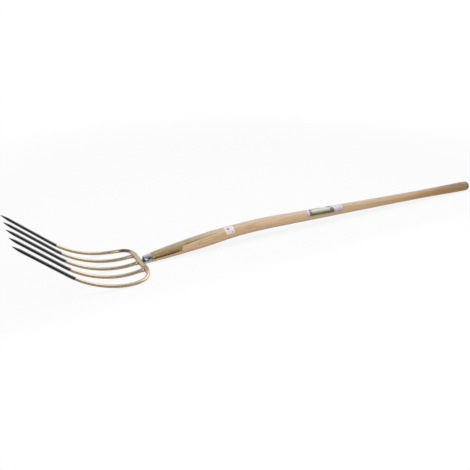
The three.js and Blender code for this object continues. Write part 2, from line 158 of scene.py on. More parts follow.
# Pins: one across the ferrule and tang, and two nails through the strap
pin_place = 8 * MM
pin_radius = 1.8 * MM
pin_head_radius = 3.2 * MM
pin_head_height = 1.5 * MM
pin_sink = 0.1 * MM
pin_sides = 40
nail_places = {"strap_nail_front": 128 * MM, "strap_nail_rear": 214 * MM}
nail_radius = 1.4 * MM
nail_head_radius = 3 * MM
nail_head_height = 1.15 * MM
nail_length = 24 * MM
nail_point = 5 * MM
nail_sink = 0.05 * MM
nail_sides = 36
head_shares = [(0, 0.97), (0.15, 1), (0.35, 0.98), (0.55, 0.9)]
head_shares += [(0.72, 0.76), (0.86, 0.56), (0.95, 0.34), (1, 0)]

# Handle: places along it and its radius at each
handle_length = 1335 * MM
bend_length = 197 * MM
socket_place = 60 * MM
butt_radius = 17.5 * MM
butt_round = 6 * MM
butt_flat_radius = 11.5 * MM
girths = [
    (ferrule_length, 13.4 * MM),
    (socket_place, 15.9 * MM),
    (wing_end, 18 * MM),
    (200 * MM, 20.1 * MM),
    (300 * MM, 18.7 * MM),
    (400 * MM, 18.7 * MM),
    (500 * MM, 18 * MM),
    (750 * MM, 16.6 * MM),
    (1000 * MM, 15.3 * MM),
    (1100 * MM, 15.3 * MM),
    (1300 * MM, butt_radius),
    (handle_length, butt_radius),
]
tenon_stations = [end_setback, 9 * MM, 16 * MM, ferrule_length]
tenon_step = 0.01 * MM
neck_step = 3 * MM
shaft_step = 6 * MM
butt_shares = (0, 0.2, 0.38, 0.55, 0.7, 0.83, 0.93, 0.98, 1)
handle_sides = 72

# Labels: paper on the handle
paper_thickness = 0.1 * MM
paper_lift = 0.12 * MM
sticker_start = 253 * MM
sticker_length = 28 * MM
sticker_width = 26 * MM
sticker_corner = 4 * MM
sticker_turn = math.radians(40)
sticker_facets = (4 * MM, 2.5 * MM)
wrap_start = 545 * MM
wrap_length = 151 * MM
wrap_drop = 1.6 * MM
wrap_corner = 1 * MM
wrap_facets = (6 * MM, 2.5 * MM)
corner_turns = 6


# Small sums
def mix(low, high, share):
    return low + (high - low) * share


def within(share):
    return min(max(share, 0.0), 1.0)


def smooth(share):
    share = within(share)
    return share * share * (3 - 2 * share)


def spread(start, end, step):
    """Even stations from one place to another, about a step apart."""
    count = max(1, round(abs(end - start) / step))
    return [mix(start, end, i / count) for i in range(count + 1)]


def leg_at(marks, distance):
    """Which leg between two marks holds a distance."""
    last = len(marks) - 2
    return next((i for i in range(last) if marks[i + 1] > distance), last)


def bezier(a, b, c, d, share):
    rest = 1 - share
    return a * rest**3 + b * (3 * rest * rest * share) + c * (3 * rest * share * share) + d * share**3


# The tines' side view, by the distance from the root
root_x = -root_setback
root_height = tine_radius + tine_curve_radius * (1 - math.cos(root_dip))
arc_length = tine_curve_radius * (tine_lift + root_dip)


def side_view(distance):
    heading = min(distance, arc_length) / tine_curve_radius - root_dip
    straight = max(distance - arc_length, 0)
    forward = tine_curve_radius * (math.sin(heading) + math.sin(root_dip)) + straight * math.cos(heading)
    rise = tine_curve_radius * (math.cos(root_dip) - math.cos(heading)) + straight * math.sin(heading)
    return root_x - forward, root_height + rise


def heading_at(x):
    return math.asin((root_x - x) / tine_curve_radius - math.sin(root_dip))


def height_at(x):
    return root_height + tine_curve_radius * (math.cos(root_dip) - math.cos(heading_at(x)))


def lateral(order, distance):
    """How far a tine stands from the middle: order is -2 and 2 for the outer ones and 0 for the centre."""
    place = order * head_width / 4
    if abs(order) == 2:
        return place * (1 + outer_swell_share * within(1 - distance / outer_swell_reach))
    return place * (1 - inner_pinch_share * within(1 - distance / inner_pinch_reach) ** 2)


def tine_point(order, distance):
    x, z = side_view(distance)
    return Vector((x, lateral(order, distance), z))


def bow_points():
    """The bow from the near outer tine's tip, round the shoulder, to the far one's."""
    corner_x = root_x - shoulder_depth
    corner_distance = tine_curve_radius * (heading_at(corner_x) + root_dip)
    corner_y = lateral(2, corner_distance)
    plan = [
        Vector((corner_x, corner_y)),
        Vector((corner_x + shoulder_depth * corner_reach_share, corner_y)),
        Vector((root_x, corner_y * back_reach_share)),
        Vector((root_x, 0)),
    ]
    half = [tine_point(2, distance) for distance in spread(tine_length, corner_distance, steel_step)]
    for step in range(1, corner_steps + 1):
        spot = bezier(*plan, step / corner_steps)
        half.append(Vector((spot.x, spot.y, height_at(spot.x))))
    mirrored = [Vector((p.x, -p.y, p.z)) for p in half[:-1]]
    return mirrored + half[::-1]


# The handle's centre line: straight neck, one bend, and a shaft that falls to the ground at the butt
def find_fall():
    fall = neck_angle / 3
    for _ in range(12):
        rise = bend_length * math.sin((neck_angle - fall) / 2)
        top = neck_height + neck_length * math.sin(neck_angle) + rise
        run = handle_length - butt_round - neck_length - bend_length
        fall = math.asin((top - butt_radius / math.cos(fall)) / run)
    return fall


shaft_fall = find_fall()
bend_radius = bend_length / (neck_angle + shaft_fall)


def handle_spot(distance, moved=0):
    """The place and direction of the handle's centre line, moved along X."""
    bent = min(max(distance - neck_length, 0), bend_length)
    heading = neck_angle - bent / bend_radius
    neck = min(distance, neck_length)
    shaft = max(distance - neck_length - bend_length, 0)
    x = neck * math.cos(neck_angle) + shaft * math.cos(heading)
    x += bend_radius * (math.sin(neck_angle) - math.sin(heading))
    z = neck * math.sin(neck_angle) + shaft * math.sin(heading)
    z += bend_radius * (math.cos(heading) - math.cos(neck_angle))
    return Vector((x + moved, 0, neck_height + z)), Vector((math.cos(heading), 0, math.sin(heading)))


# The origin is under the middle of the fork's length
shift = -(handle_spot(handle_length)[0].x + side_view(tine_length)[0]) / 2
to_origin = Vector((shift, 0, 0))


def handle_route(distance):
    return handle_spot(distance, shift)


# Radii along the handle and the strap
ferrule_bore = nose_radius - ferrule_wall
tenon_radius = ferrule_bore - fit


def girth(distance):
    """A smooth run through the named radii."""
    places, radii = zip(*girths)
    leg = leg_at(places, distance)
    share = within((distance - places[leg]) / (places[leg + 1] - places[leg]))
    before, start, end, after = [radii[min(max(i, 0), len(radii) - 1)] for i in range(leg - 1, leg + 3)]
    slope_in, slope_out = (end - before) / 2, (after - start) / 2
    cubic = (2 * start - 2 * end + slope_in + slope_out) * share**3
    square = (3 * end - 3 * start - 2 * slope_in - slope_out) * share**2
    return cubic + square + slope_in * share + start


def handle_radius(distance):
    if distance <= ferrule_length + fit:
        return tenon_radius
    turn = within((distance - handle_length + butt_round) / butt_round)
    return mix(butt_flat_radius, girth(distance), math.sqrt(1 - turn * turn))


def strap_radius(distance):
    joggle = smooth((distance - ferrule_length - fit) / joggle_run)
    return mix(tenon_radius, girth(max(distance, ferrule_length)) + strap_proud, joggle)


# Radii along a tine by the distance from its tip
def outside_radius(from_tip):
    point = math.sin(within(from_tip / point_length) * math.pi / 2)
    taper = within((from_tip - point_length) / (tine_length - point_length))
    return mix(point_radius, mix(dipped_radius, tine_radius, taper), point)


def steel_radius(from_tip):
    return outside_radius(from_tip) - core_inset * (1 - smooth((from_tip - dip_length) / core_inset_run))


# A route through points: the place and direction at a distance along it
def route(points):
    marks = [0.0]
    for here, after in zip(points, points[1:]):
        marks.append(marks[-1] + (after - here).length)

    def spot(distance):
        leg = leg_at(marks, distance)
        here, after = points[leg], points[leg + 1]
        span = after - here
        share = (distance - marks[leg]) / span.length
        start = (after - points[max(leg - 1, 0)]).normalized()
        end = (points[min(leg + 2, len(points) - 1)] - here).normalized()
        return here + span * share, start.lerp(end, within(share)).normalized()

    return spot, marks[-1]


def stand(place, along):
    """The frame at a spot of a route: X to the side, Y up and Z along it."""
    side = along.cross(UP).normalized()
    lift = side.cross(along)
    turn = Matrix((side, lift, along)).transposed().to_4x4()
    return Matrix.Translation(place) @ turn


# Making meshes
def in_scene(name, data):
    made = bpy.data.objects.new(name, data)
    bpy.context.scene.collection.objects.link(made)
    return made


def mesh_object(work, name, stuff):
    """The work becomes a mesh object at the origin and takes its finish."""
    mesh = bpy.data.meshes.new(name)
    work.to_mesh(mesh)
    work.free()
    mesh.materials.append(stuff)
    return in_scene(name, mesh)


def finish_mesh(work, name, node, stuff, crease=40):
    """The work becomes a smooth piece that stands for its CAD node."""
    piece = mesh_object(work, name, stuff)
    piece.data.shade_smooth()
    piece.data.set_sharp_from_angle(angle=math.radians(crease))
    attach(piece, "root")
    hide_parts(node)


def bar(spot, stations, radius, sides, relief=None):
    """A round bar: a ring is extruded from station to station of a route, and both ends are closed.
    A relief gives how far the skin grows outwards and slides along the bar, by the distance and the
    angle round it."""
    work = bmesh.new()
    unbent = work.verts.layers.float_vector.new("unbent")
    frames = [stand(*spot(s)) @ Matrix.Diagonal((radius(s), radius(s), 1, 1)) for s in stations]
    made = bmesh.ops.create_circle(work, cap_ends=True, segments=sides, radius=1, matrix=frames[0])
    ring = made["verts"]
    edges = list({edge for vert in ring for edge in vert.link_edges})
    rings = [ring]
    for before, after in zip(frames, frames[1:]):
        made = bmesh.ops.extrude_edge_only(work, edges=edges)["geom"]
        ring = [part for part in made if isinstance(part, bmesh.types.BMVert)]
        edges = [part for part in made if isinstance(part, bmesh.types.BMEdge)]
        bmesh.ops.transform(work, matrix=after @ before.inverted(), verts=ring)
        rings.append(ring)
    bmesh.ops.edgeloop_fill(work, edges=edges)
    for distance, place, ring in zip(stations, frames, rings):
        back = place.inverted()
        wide = radius(distance)
        for vert in ring:
            local = back @ vert.co
            if relief:
                grow, slide = relief(distance, math.atan2(local.y, local.x))
                vert.co = place @ (local * (1 + grow / wide)) + place.col[2].to_3d() * slide
                local = back @ vert.co
            vert[unbent] = (distance, local.x * wide, local.y * wide)
    bmesh.ops.recalc_face_normals(work, faces=work.faces)
    return work


def turned(outline, sides, place):
    """A turned shape about X, from its outline in places along X and radii, set at a place."""
    work = bmesh.new()
    corners = [work.verts.new((x, 0, r)) for x, r in outline]
    edges = [work.edges.new(pair) for pair in zip(corners, corners[1:])]
    about = {"axis": (1, 0, 0), "cent": (0, 0, 0), "angle": math.tau}
    bmesh.ops.spin(work, geom=corners + edges, steps=sides, use_merge=True, **about)
    bmesh.ops.remove_doubles(work, verts=work.verts, dist=0.001 * MM)
    bmesh.ops.recalc_face_normals(work, faces=work.faces)
    unbent = work.verts.layers.float_vector.new("unbent")
    for vert in work.verts:
        vert[unbent] = vert.co
    bmesh.ops.transform(work, matrix=place, verts=work.verts)
    return work


def wrapped(outline, facets, lay, thickness):
    """A thin sheet: an outline in the plane, cut into small facets, laid on the handle and thickened."""
    work = bmesh.new()
    corners = [work.verts.new((x, y, 0)) for x, y in outline]
    bmesh.ops.contextual_create(work, geom=corners)
    xs, ys = [x for x, y in outline], [y for x, y in outline]
    for axis, low, high, step in ((0, min(xs), max(xs), facets[0]), (1, min(ys), max(ys), facets[1])):
        direction = Vector((1 - axis, axis, 0))
        for cut in spread(low, high, step)[1:-1]:
            geom = work.verts[:] + work.edges[:] + work.faces[:]
            plane = direction * cut
            bmesh.ops.bisect_plane(work, geom=geom, plane_co=plane, plane_no=direction, dist=0.001 * MM)
    flat = work.loops.layers.uv.new("print")
    for face in work.faces:
        for loop in face.loops:
            x, y = loop.vert.co.xy
            loop[flat].uv = ((x - min(xs)) / (max(xs) - min(xs)), (y - min(ys)) / (max(ys) - min(ys)))
    unbent = work.verts.layers.float_vector.new("unbent")
    for vert in work.verts:
        vert[unbent] = vert.co
        vert.co = lay(vert.co.x, vert.co.y)
    bmesh.ops.recalc_face_normals(work, faces=work.faces)
    middle_x = (min(xs) + max(xs)) / 2
    middle = lay(middle_x, 0)
    nearest = min(work.faces, key=lambda face: (face.calc_center_median() - middle).length)
    if nearest.normal.dot(middle - handle_route(middle_x)[0]) < 0:
        bmesh.ops.reverse_faces(work, faces=work.faces)
    bmesh.ops.solidify(work, geom=work.faces[:], thickness=thickness)
    return work


# Finishes: small helpers for nodes
def rgb(red, green, blue):
    """A colour as it is seen, for the shader."""
    parts = [part / 255 for part in (red, green, blue)]
    return (*[part / 12.92 if part <= 0.04045 else ((part + 0.055) / 1.055) ** 2.4 for part in parts], 1)


def add(tree, kind, inputs=None, **settings):
    made = tree.nodes.new("ShaderNode" + kind)
    for name, value in settings.items():
        setattr(made, name, value)
    for socket, value in (inputs or {}).items():
        if isinstance(value, bpy.types.NodeSocket):
            tree.links.new(value, made.inputs[socket])
        else:
            made.inputs[socket].default_value = value
    return made


def new_finish(name, metallic, roughness, coat=0, coat_roughness=0.1, specular=0.5):
    stuff = bpy.data.materials.new(name)
    stuff.use_nodes = True
    shader = stuff.node_tree.nodes["Principled BSDF"]
    shader.inputs["Metallic"].default_value = metallic
    shader.inputs["Roughness"].default_value = roughness
    shader.inputs["Coat Weight"].default_value = coat
    shader.inputs["Coat Roughness"].default_value = coat_roughness
    shader.inputs["Specular IOR Level"].default_value = specular
    return stuff, stuff.node_tree, shader


def along_piece(tree):
    return add(tree, "Attribute", attribute_name="unbent").outputs["Vector"]


def parts_of(tree, where):
    made = add(tree, "SeparateXYZ", {0: where})
    return made.outputs["X"], made.outputs["Y"], made.outputs["Z"]


def grain_noise(tree, where, waves, detail=3, rough=0.55):
    """Noise with so many waves a metre along the piece and each way across it."""
    stretched = add(tree, "VectorMath", {0: where, 1: waves}, operation="MULTIPLY").outputs[0]
    inputs = {"Vector": stretched, "Scale": 1, "Detail": detail, "Roughness": rough}
    return add(tree, "TexNoise", inputs).outputs["Fac"]


def calc(tree, operation, *values):
    return add(tree, "Math", dict(enumerate(values)), operation=operation).outputs[0]


def times(tree, value, share):
    return calc(tree, "MULTIPLY", value, share)


def ranged(tree, value, low, high, to_low=0.0, to_high=1.0, soft=True):
    inputs = {"Value": value, "From Min": low, "From Max": high, "To Min": to_low, "To Max": to_high}
    kind = "SMOOTHSTEP" if soft else "LINEAR"
    return add(tree, "MapRange", inputs, interpolation_type=kind).outputs["Result"]


def blend(tree, share, below, above, mode="MIX"):
    made = add(tree, "Mix", {0: share, 6: below, 7: above}, data_type="RGBA", blend_type=mode)
    return made.outputs[2]


def shaded(tree, colour, shade):
    """A colour multiplied by a shade, which is a value or another colour."""
    return blend(tree, 1.0, colour, shade, mode="MULTIPLY")


def streaked(tree, colour, lines, low, shades):
    """A colour that fine lines make a little darker and lighter."""
    return shaded(tree, colour, ranged(tree, lines, low, 1 - low, *shades, soft=False))


def scale_ramp(tree, value, stops):
    made = add(tree, "ValToRGB", {"Fac": value})
    ramp = made.color_ramp
    while len(ramp.elements) < len(stops):
        ramp.elements.new(0.5)
    for element, (place, colour) in zip(ramp.elements, stops):
        element.position = place
        element.color = colour
    return made.outputs["Color"]


def dress(tree, shader, colour, rough, bumps):
    """Colour, roughness and bumps go to the shader. The roughness is a noise and its two ends, and each
    bump is a height share and its depth in metres."""
    tree.links.new(colour, shader.inputs["Base Color"])
    tree.links.new(ranged(tree, rough[0], 0.3, 0.7, *rough[1:]), shader.inputs["Roughness"])
    normal = None
    for height, depth in bumps:
        inputs = {"Height": height, "Distance": depth, "Strength": 1.0}
        if normal:
            inputs["Normal"] = normal
        normal = add(tree, "Bump", inputs).outputs["Normal"]
    tree.links.new(normal, shader.inputs["Normal"])


# Finishes of steel
# The third tone of each set is painted shade for the underside of a bar.
gold_tones = (rgb(198, 182, 154), rgb(186, 167, 136), rgb(108, 93, 68))
weld_tones = (rgb(204, 186, 138), rgb(132, 112, 70), rgb(96, 78, 48))
# The tang's tones are darkened as painted shade.
tang_shade_tones = (rgb(104, 88, 62), rgb(70, 58, 42), rgb(30, 25, 20))
# A brown that stands in for shade on a bar, as painted shade.
shade_brown = rgb(98, 80, 52)


def lacquered_steel(name, tones, roughness, metallic=0.85, rippled=0.002 * MM, shaded_places=()):
    """Drawn steel under a clear gold lacquer. The tones are light, dark and painted shade on the underside.
    Each place of painted shade has a distance along the bar, a reach each way and a share."""
    stuff, tree, shader = new_finish(name, metallic, roughness, coat=0.3, coat_roughness=0.15)
    light, dark, underside_shade = tones
    where = along_piece(tree)
    s, _, y = parts_of(tree, where)
    cloud = grain_noise(tree, where, (12, 110, 110), detail=2)
    lines = grain_noise(tree, where, (9, 1500, 1500), detail=2)
    drawn = grain_noise(tree, where, (24, 160, 160), detail=2)
    worn = grain_noise(tree, where, (18, 240, 240))
    colour = blend(tree, ranged(tree, cloud, 0.35, 0.68), light, dark)
    # Painted shade: the underside is darker.
    colour = blend(tree, ranged(tree, y, 1.5 * MM, -2.5 * MM, 0, 0.85), colour, underside_shade)
    # Painted shade darkens the bar about each of the given places.
    for place, reach, share in shaded_places:
        apart = calc(tree, "ABSOLUTE", calc(tree, "SUBTRACT", s, place))
        colour = blend(tree, ranged(tree, apart, reach, reach * 0.45, 0, share), colour, shade_brown)
    colour = streaked(tree, colour, lines, 0.3, (0.94, 1.05))
    rough = (worn, roughness - 0.02, roughness + 0.04)
    dress(tree, shader, colour, rough, [(drawn, rippled), (lines, 0.0015 * MM)])
    return stuff


def black_dip():
    """Black dipped paint, thin and brownish at its upper edge."""
    stuff, tree, shader = new_finish("black_dip_paint", 0.0, 0.3, coat=0.35, coat_roughness=0.08)
    where = along_piece(tree)
    s, _, _ = parts_of(tree, where)
    cloud = grain_noise(tree, where, (40, 300, 300))
    scuffs = grain_noise(tree, where, (90, 900, 900), detail=4)
    peel = grain_noise(tree, where, (420, 420, 420), detail=2)
    runs = grain_noise(tree, where, (30, 260, 260), detail=2)
    colour = blend(tree, ranged(tree, cloud, 0.35, 0.7), rgb(5, 5, 6), rgb(9, 9, 10))
    wavy = calc(tree, "MULTIPLY_ADD", cloud, 3 * MM, s)
    edge = ranged(tree, wavy, dip_length - 1.2 * MM, dip_length + 2.2 * MM, 0, 0.55)
    colour = blend(tree, edge, colour, rgb(96, 82, 62))
    colour = blend(tree, ranged(tree, scuffs, 0.64, 0.72, 0, 0.25), colour, rgb(92, 92, 94))
    dress(tree, shader, colour, (cloud, 0.24, 0.36), [(runs, 0.06 * MM), (peel, 0.02 * MM)])
    return stuff


def zinc_plate():
    """Bright zinc plate, faintly clouded, with fine lines turned round it. It is darker below as a painted
    reflection, with painted shade on the nose, dark at the rear rim and a painted dark reflection in a band
    along both sides."""
    stuff, tree, shader = new_finish("zinc_plate", 1.0, 0.17)
    where = along_piece(tree)
    s, _, height = parts_of(tree, where)
    cloud = grain_noise(tree, where, (120, 240, 240), detail=4)
    grime = grain_noise(tree, where, (150, 150, 150), detail=5)
    rings = grain_noise(tree, where, (2600, 60, 60), detail=2)
    sides = calc(tree, "ABSOLUTE", height)
    rear = (ferrule_length - 1 * MM, ferrule_length - 0.1 * MM)
    colour = blend(tree, ranged(tree, cloud, 0.3, 0.7), rgb(204, 210, 218), rgb(218, 221, 226))
    for share, paint in (
        (ranged(tree, grime, 0.6, 0.78, 0, 0.3), rgb(110, 112, 118)),
        # Painted reflection: darker below.
        (ranged(tree, height, 1 * MM, -6 * MM, 0, 0.85), rgb(156, 158, 160)),
        # Painted reflection: a dark band along both sides.
        (ranged(tree, sides, 4.5 * MM, 0.5 * MM, 0, 0.7), rgb(74, 76, 84)),
        # Painted shade on the nose.
        (ranged(tree, s, 0.5 * MM, -2.5 * MM, 0, 0.75), rgb(74, 76, 82)),
        (ranged(tree, s, *rear, 0, 0.6), rgb(90, 92, 98)),
    ):
        colour = blend(tree, share, colour, paint)
    dress(tree, shader, colour, (cloud, 0.13, 0.22), [(rings, 0.006 * MM)])
    return stuff


def pin_plate():
    """The pin's hammered head, plated like the ring and duller."""
    stuff, tree, shader = new_finish("pin_plate", 1.0, 0.4)
    dents = grain_noise(tree, along_piece(tree), (700, 700, 700))
    colour = blend(tree, ranged(tree, dents, 0.35, 0.65), rgb(150, 152, 156), rgb(124, 126, 132))
    dress(tree, shader, colour, (dents, 0.36, 0.5), [(dents, 0.03 * MM)])
    return stuff


def strap_lacquer():
    """The strap's gold lacquer, a little duller than the tines'. Painted shade darkens it towards the
    wings' lower edges and their rear corners, with a painted shadow line along them; the tongue is paler as
    a painted highlight and has a painted shadow along its lip."""
    stuff, tree, shader = new_finish("strap_lacquer", 0.6, 0.4, coat=0.2, coat_roughness=0.3)
    where = along_piece(tree)
    s, round_way, _ = parts_of(tree, where)
    cloud = grain_noise(tree, where, (40, 120, 120), detail=4)
    streaks = grain_noise(tree, where, (14, 900, 900))
    away = calc(tree, "ABSOLUTE", round_way)
    lower_edge = calc(tree, "MULTIPLY_ADD", s, wing_edge_slope, wing_edge_start)
    from_edge = calc(tree, "SUBTRACT", away, lower_edge)
    tongue = ranged(tree, s, wing_end + 4 * MM, wing_end + 24 * MM, 0, 0.8)
    colour = blend(tree, ranged(tree, cloud, 0.32, 0.7), rgb(194, 176, 138), rgb(176, 154, 114))
    for share, paint in (
        # Painted highlight: the tongue is paler.
        (ranged(tree, s, 120 * MM, 225 * MM, 0, 0.6), rgb(218, 200, 174)),
        # Painted shadow along the tongue's lip.
        (times(tree, tongue, ranged(tree, away, 11 * MM, 14 * MM)), rgb(132, 100, 54)),
        # Painted shade: the wings darken towards their lower edges.
        (ranged(tree, from_edge, -19 * MM, -3 * MM, 0, 0.8), rgb(146, 112, 50)),
        # Painted shadow line along the wings' lower edges.
        (ranged(tree, from_edge, -6.5 * MM, -1.5 * MM, 0, 0.95), rgb(60, 36, 2)),
    ):
        colour = blend(tree, share, colour, paint)
    colour = streaked(tree, colour, streaks, 0.3, (0.92, 1.06))
    dress(tree, shader, colour, (cloud, 0.34, 0.46), [(cloud, 0.06 * MM), (streaks, 0.008 * MM)])
    return stuff


# Finish of the wood: the tree's heart lies beside the handle and below it
ring_width = 2.7 * MM
ring_waver = 1.4 * MM
heart_beside = 24 * MM
heart_below = 9 * MM
heart_sway = 13 * MM
heart_tilt = 0.012
wood_tones = [
    (0, rgb(213, 181, 144)),
    (0.2, rgb(216, 183, 145)),
    (0.36, rgb(214, 183, 145)),
    (0.6, rgb(205, 173, 133)),
    (0.74, rgb(189, 155, 113)),
    (0.89, rgb(163, 121, 60)),
    (0.97, rgb(150, 105, 26)),
]


def year_rings(tree, where):
    """A saw-tooth across each year ring, round a heart that sways along the handle."""
    s, x, y = parts_of(tree, where)
    sway = grain_noise(tree, where, (3.2, 22, 22), detail=2, rough=0.4)
    waver = grain_noise(tree, where, (14, 120, 120))
    across = calc(tree, "MULTIPLY_ADD", sway, heart_sway, calc(tree, "ADD", x, heart_beside))
    tilt = calc(tree, "MULTIPLY_ADD", s, heart_tilt, y)
    deep = calc(tree, "MULTIPLY_ADD", waver, ring_waver, calc(tree, "ADD", tilt, heart_below))
    squares = calc(tree, "ADD", calc(tree, "POWER", across, 2.0), calc(tree, "POWER", deep, 2.0))
    return calc(tree, "FRACT", times(tree, calc(tree, "SQRT", squares), 1 / ring_width))


def ash_wood():
    """Turned and bent ash: open-pored rings cut lengthwise, darker and browner towards the butt."""
    stuff, tree, shader = new_finish("ash_wood", 0.0, 0.45, coat=0.12, coat_roughness=0.3)
    shader.inputs["Sheen Weight"].default_value = 0.3
    shader.inputs["Sheen Roughness"].default_value = 0.45
    where = along_piece(tree)
    s, _, y = parts_of(tree, where)
    ring = year_rings(tree, where)
    early = times(tree, ranged(tree, ring, 0.34, 0.12), ranged(tree, ring, 0.0, 0.06))
    late = ranged(tree, ring, 0.55, 0.98)
    broad = calc(tree, "SUBTRACT", grain_noise(tree, where, (5, 55, 55)), 0.5)
    fibres = grain_noise(tree, where, (22, 1500, 1500), rough=0.65)
    dashes = ranged(tree, grain_noise(tree, where, (150, 2600, 2600), detail=2), 0.56, 0.66)
    pores = times(tree, dashes, ranged(tree, early, 0.0, 1.0, 0.25, 1.0))

    # The ground tone runs along the handle; it has a painted sheen on top and painted shade below, and is
    # darker along the top and bottom edges towards the butt
    tone = calc(tree, "MULTIPLY_ADD", broad, 0.12, calc(tree, "DIVIDE", s, handle_length))
    colour = scale_ramp(tree, tone, wood_tones)
    # Painted highlight: the top is paler, as a painted sheen.
    top_sheen = times(tree, ranged(tree, y, 4 * MM, 17 * MM), ranged(tree, s, 0.95, 0.6, 0, 0.4))
    colour = blend(tree, top_sheen, colour, rgb(204, 186, 166))
    # Painted shade: the underside is darker.
    below = times(tree, ranged(tree, y, -4 * MM, -12 * MM), ranged(tree, s, 0.4, 0.8, 1.0, 0.7))
    colour = blend(tree, below, colour, shaded(tree, colour, rgb(208, 204, 196)))
    # Darker along the top and bottom edges towards the butt.
    top_edge = ranged(tree, y, 6 * MM, 15 * MM)
    low_edge = ranged(tree, y, -8 * MM, -16 * MM, 0, 0.75)
    butt_edges_dark = times(tree, calc(tree, "MAXIMUM", top_edge, low_edge), ranged(tree, s, 1.1, 1.3, 0, 0.7))
    colour = blend(tree, butt_edges_dark, colour, rgb(92, 72, 38))

    # Rings, fibres and pores
    late_wood = shaded(tree, colour, rgb(228, 220, 206))
    early_wood = shaded(tree, colour, rgb(222, 212, 196))
    colour = blend(tree, times(tree, late, 0.5), colour, late_wood)
    colour = blend(tree, times(tree, early, 0.5), colour, early_wood)
    colour = streaked(tree, colour, fibres, 0.25, (0.91, 1.07))
    colour = blend(tree, times(tree, pores, 0.6), colour, shaded(tree, colour, rgb(170, 150, 128)))

    # The butt is worn grey, with a dark rim
    worn = calc(tree, "MULTIPLY_ADD", broad, 26 * MM, s)
    end_grey = ranged(tree, worn, handle_length - 38 * MM, handle_length - 14 * MM, 0, 0.8)
    colour = blend(tree, end_grey, colour, rgb(126, 114, 74))
    rim = ranged(tree, s, handle_length - 20 * MM, handle_length - 5 * MM, 0, 0.95)
    colour = blend(tree, rim, colour, rgb(48, 42, 18))
    sunk = calc(tree, "SUBTRACT", 1.0, pores)
    bumps = [(sunk, 0.05 * MM), (fibres, 0.03 * MM), (ring, 0.03 * MM)]
    dress(tree, shader, colour, (fibres, 0.42, 0.6), bumps)
    return stuff


# Finish of the labels
def printed(tree, colour, u, v, box, paint, share):
    """A printed block on a label, between two places each way, with slightly soft edges."""
    inside = share
    for value, low, high, soft in ((u, box[0], box[1], 0.008), (v, box[2], box[3], 0.012)):
        for near, far in ((low - soft, low + soft), (high + soft, high - soft)):
            inside = times(tree, inside, ranged(tree, value, near, far))
    return blend(tree, inside, colour, paint)


def label(name, top_tone, low_tone, turn_places, blocks):
    """Satin paper, cool on top and warmer on the side, with plain printed blocks."""
    stuff, tree, shader = new_finish(name, 0.0, 0.4, coat=0.2, coat_roughness=0.2)
    flat = add(tree, "UVMap", uv_map="print").outputs["UV"]
    u, v, _ = parts_of(tree, flat)
    where = along_piece(tree)
    soft = grain_noise(tree, where, (300, 300, 300))
    mottle = ranged(tree, grain_noise(tree, where, (220, 340, 340)), 0.35, 0.65, 0.72, 1.0)
    colour = blend(tree, ranged(tree, v, *turn_places), top_tone, low_tone)
    colour = streaked(tree, colour, soft, 0.3, (0.96, 1.02))
    for box, paint in blocks:
        colour = printed(tree, colour, u, v, box, rgb(*paint), mottle)
    dress(tree, shader, colour, (soft, 0.34, 0.46), [(soft, 0.02 * MM)])
    return stuff


# Bow: the two outer tines and the crosspiece, with painted shade at both shoulders
bow, bow_length = route([point + to_origin for point in bow_points()])
bow_half = bow_length / 2


def bow_backwards(distance):
    place, along = bow(bow_length - distance)
    return place, -along


def bow_radius(distance):
    from_tip = min(distance, bow_length - distance)
    thick = smooth((crosspiece_reach - bow_half + from_tip) / crosspiece_taper)
    return mix(steel_radius(from_tip), crosspiece_radius, thick)


def steel_stations(end, step):
    return spread(core_setback, point_length, point_step) + spread(point_length + steel_step, end, step)


half_stations = steel_stations(bow_half, bow_step)
bow_stations = half_stations + [bow_length - s for s in half_stations[-2::-1]]
# Painted shade at both shoulders, where the bar lies in shadow.
shoulders = ((bow_half + 88 * MM, 30 * MM, 0.85), (bow_half - 50 * MM, 18 * MM, 0.4))
bow_gold = lacquered_steel("bow_lacquer", gold_tones, 0.27, shaded_places=shoulders)
bow_bar = bar(bow, bow_stations, bow_radius, tine_sides)
finish_mesh(bow_bar, "outer_tines_and_crosspiece", "tine_bow", bow_gold)

# Dipped ends
dip_paint = black_dip()


def dip_relief(seed, setback):
    """The coat's upper edge wavers, stops short of its full length and rounds down onto the steel."""

    def relief(distance, angle):
        near_end = smooth((distance - dip_length + edge_reach) / edge_reach)
        wave = noise.noise(Vector((math.cos(angle), math.sin(angle), seed * 3.7))) * edge_waver
        lip = within((distance - dip_length + lip_length) / lip_length)
        return -lip_drop * (1 - math.sqrt(1 - lip * lip)), (wave - setback) * near_end

    return relief


def dip_coat(spot, name, node, seed, setback=edge_setback):
    stations = spread(0, point_length, tip_step)
    stations += spread(point_length + point_step, dip_length - steel_step, steel_step)
    stations += spread(dip_length - rim_length, dip_length - lip_length, rim_step)
    stations += [dip_length - short for short in lip_stations]
    coat = bar(spot, stations, outside_radius, tine_sides, relief=dip_relief(seed, setback))
    finish_mesh(coat, name, node, dip_paint)


# Welds
weld_steel = lacquered_steel("weld_lacquer", weld_tones, 0.34, metallic=0.8, rippled=0.15 * MM)


def fillet(spot, seat, toe, radius, tall, name, node, seed):
    """A weld flares from the bar towards the crosspiece, wider to the sides than above, and is rippled."""

    def relief(distance, angle):
        share = within((distance - toe) / (seat - toe))
        oval = weld_width * tall / math.hypot(tall * math.cos(angle), weld_width * math.sin(angle))
        flare = max(oval - radius(distance), 0) * share * share
        ripple = ripple_height * math.sin(ripple_count * angle + ripple_lean * share) * math.sqrt(share)
        around = Vector((math.cos(angle) * 2, math.sin(angle) * 2, seed + share * 2))
        lump = noise.noise(around) * lump_height
        return weld_skin + flare + (ripple + lump) * share, 0

    stations = spread(min(seat, toe), max(seat, toe), weld_step)
    weld = bar(spot, stations, radius, weld_sides, relief=relief)
    finish_mesh(weld, name, node, weld_steel, crease=60)


# Inner tines, each run into the crosspiece, with its weld and its dipped end
gold = lacquered_steel("gold_lacquer", gold_tones, 0.27)


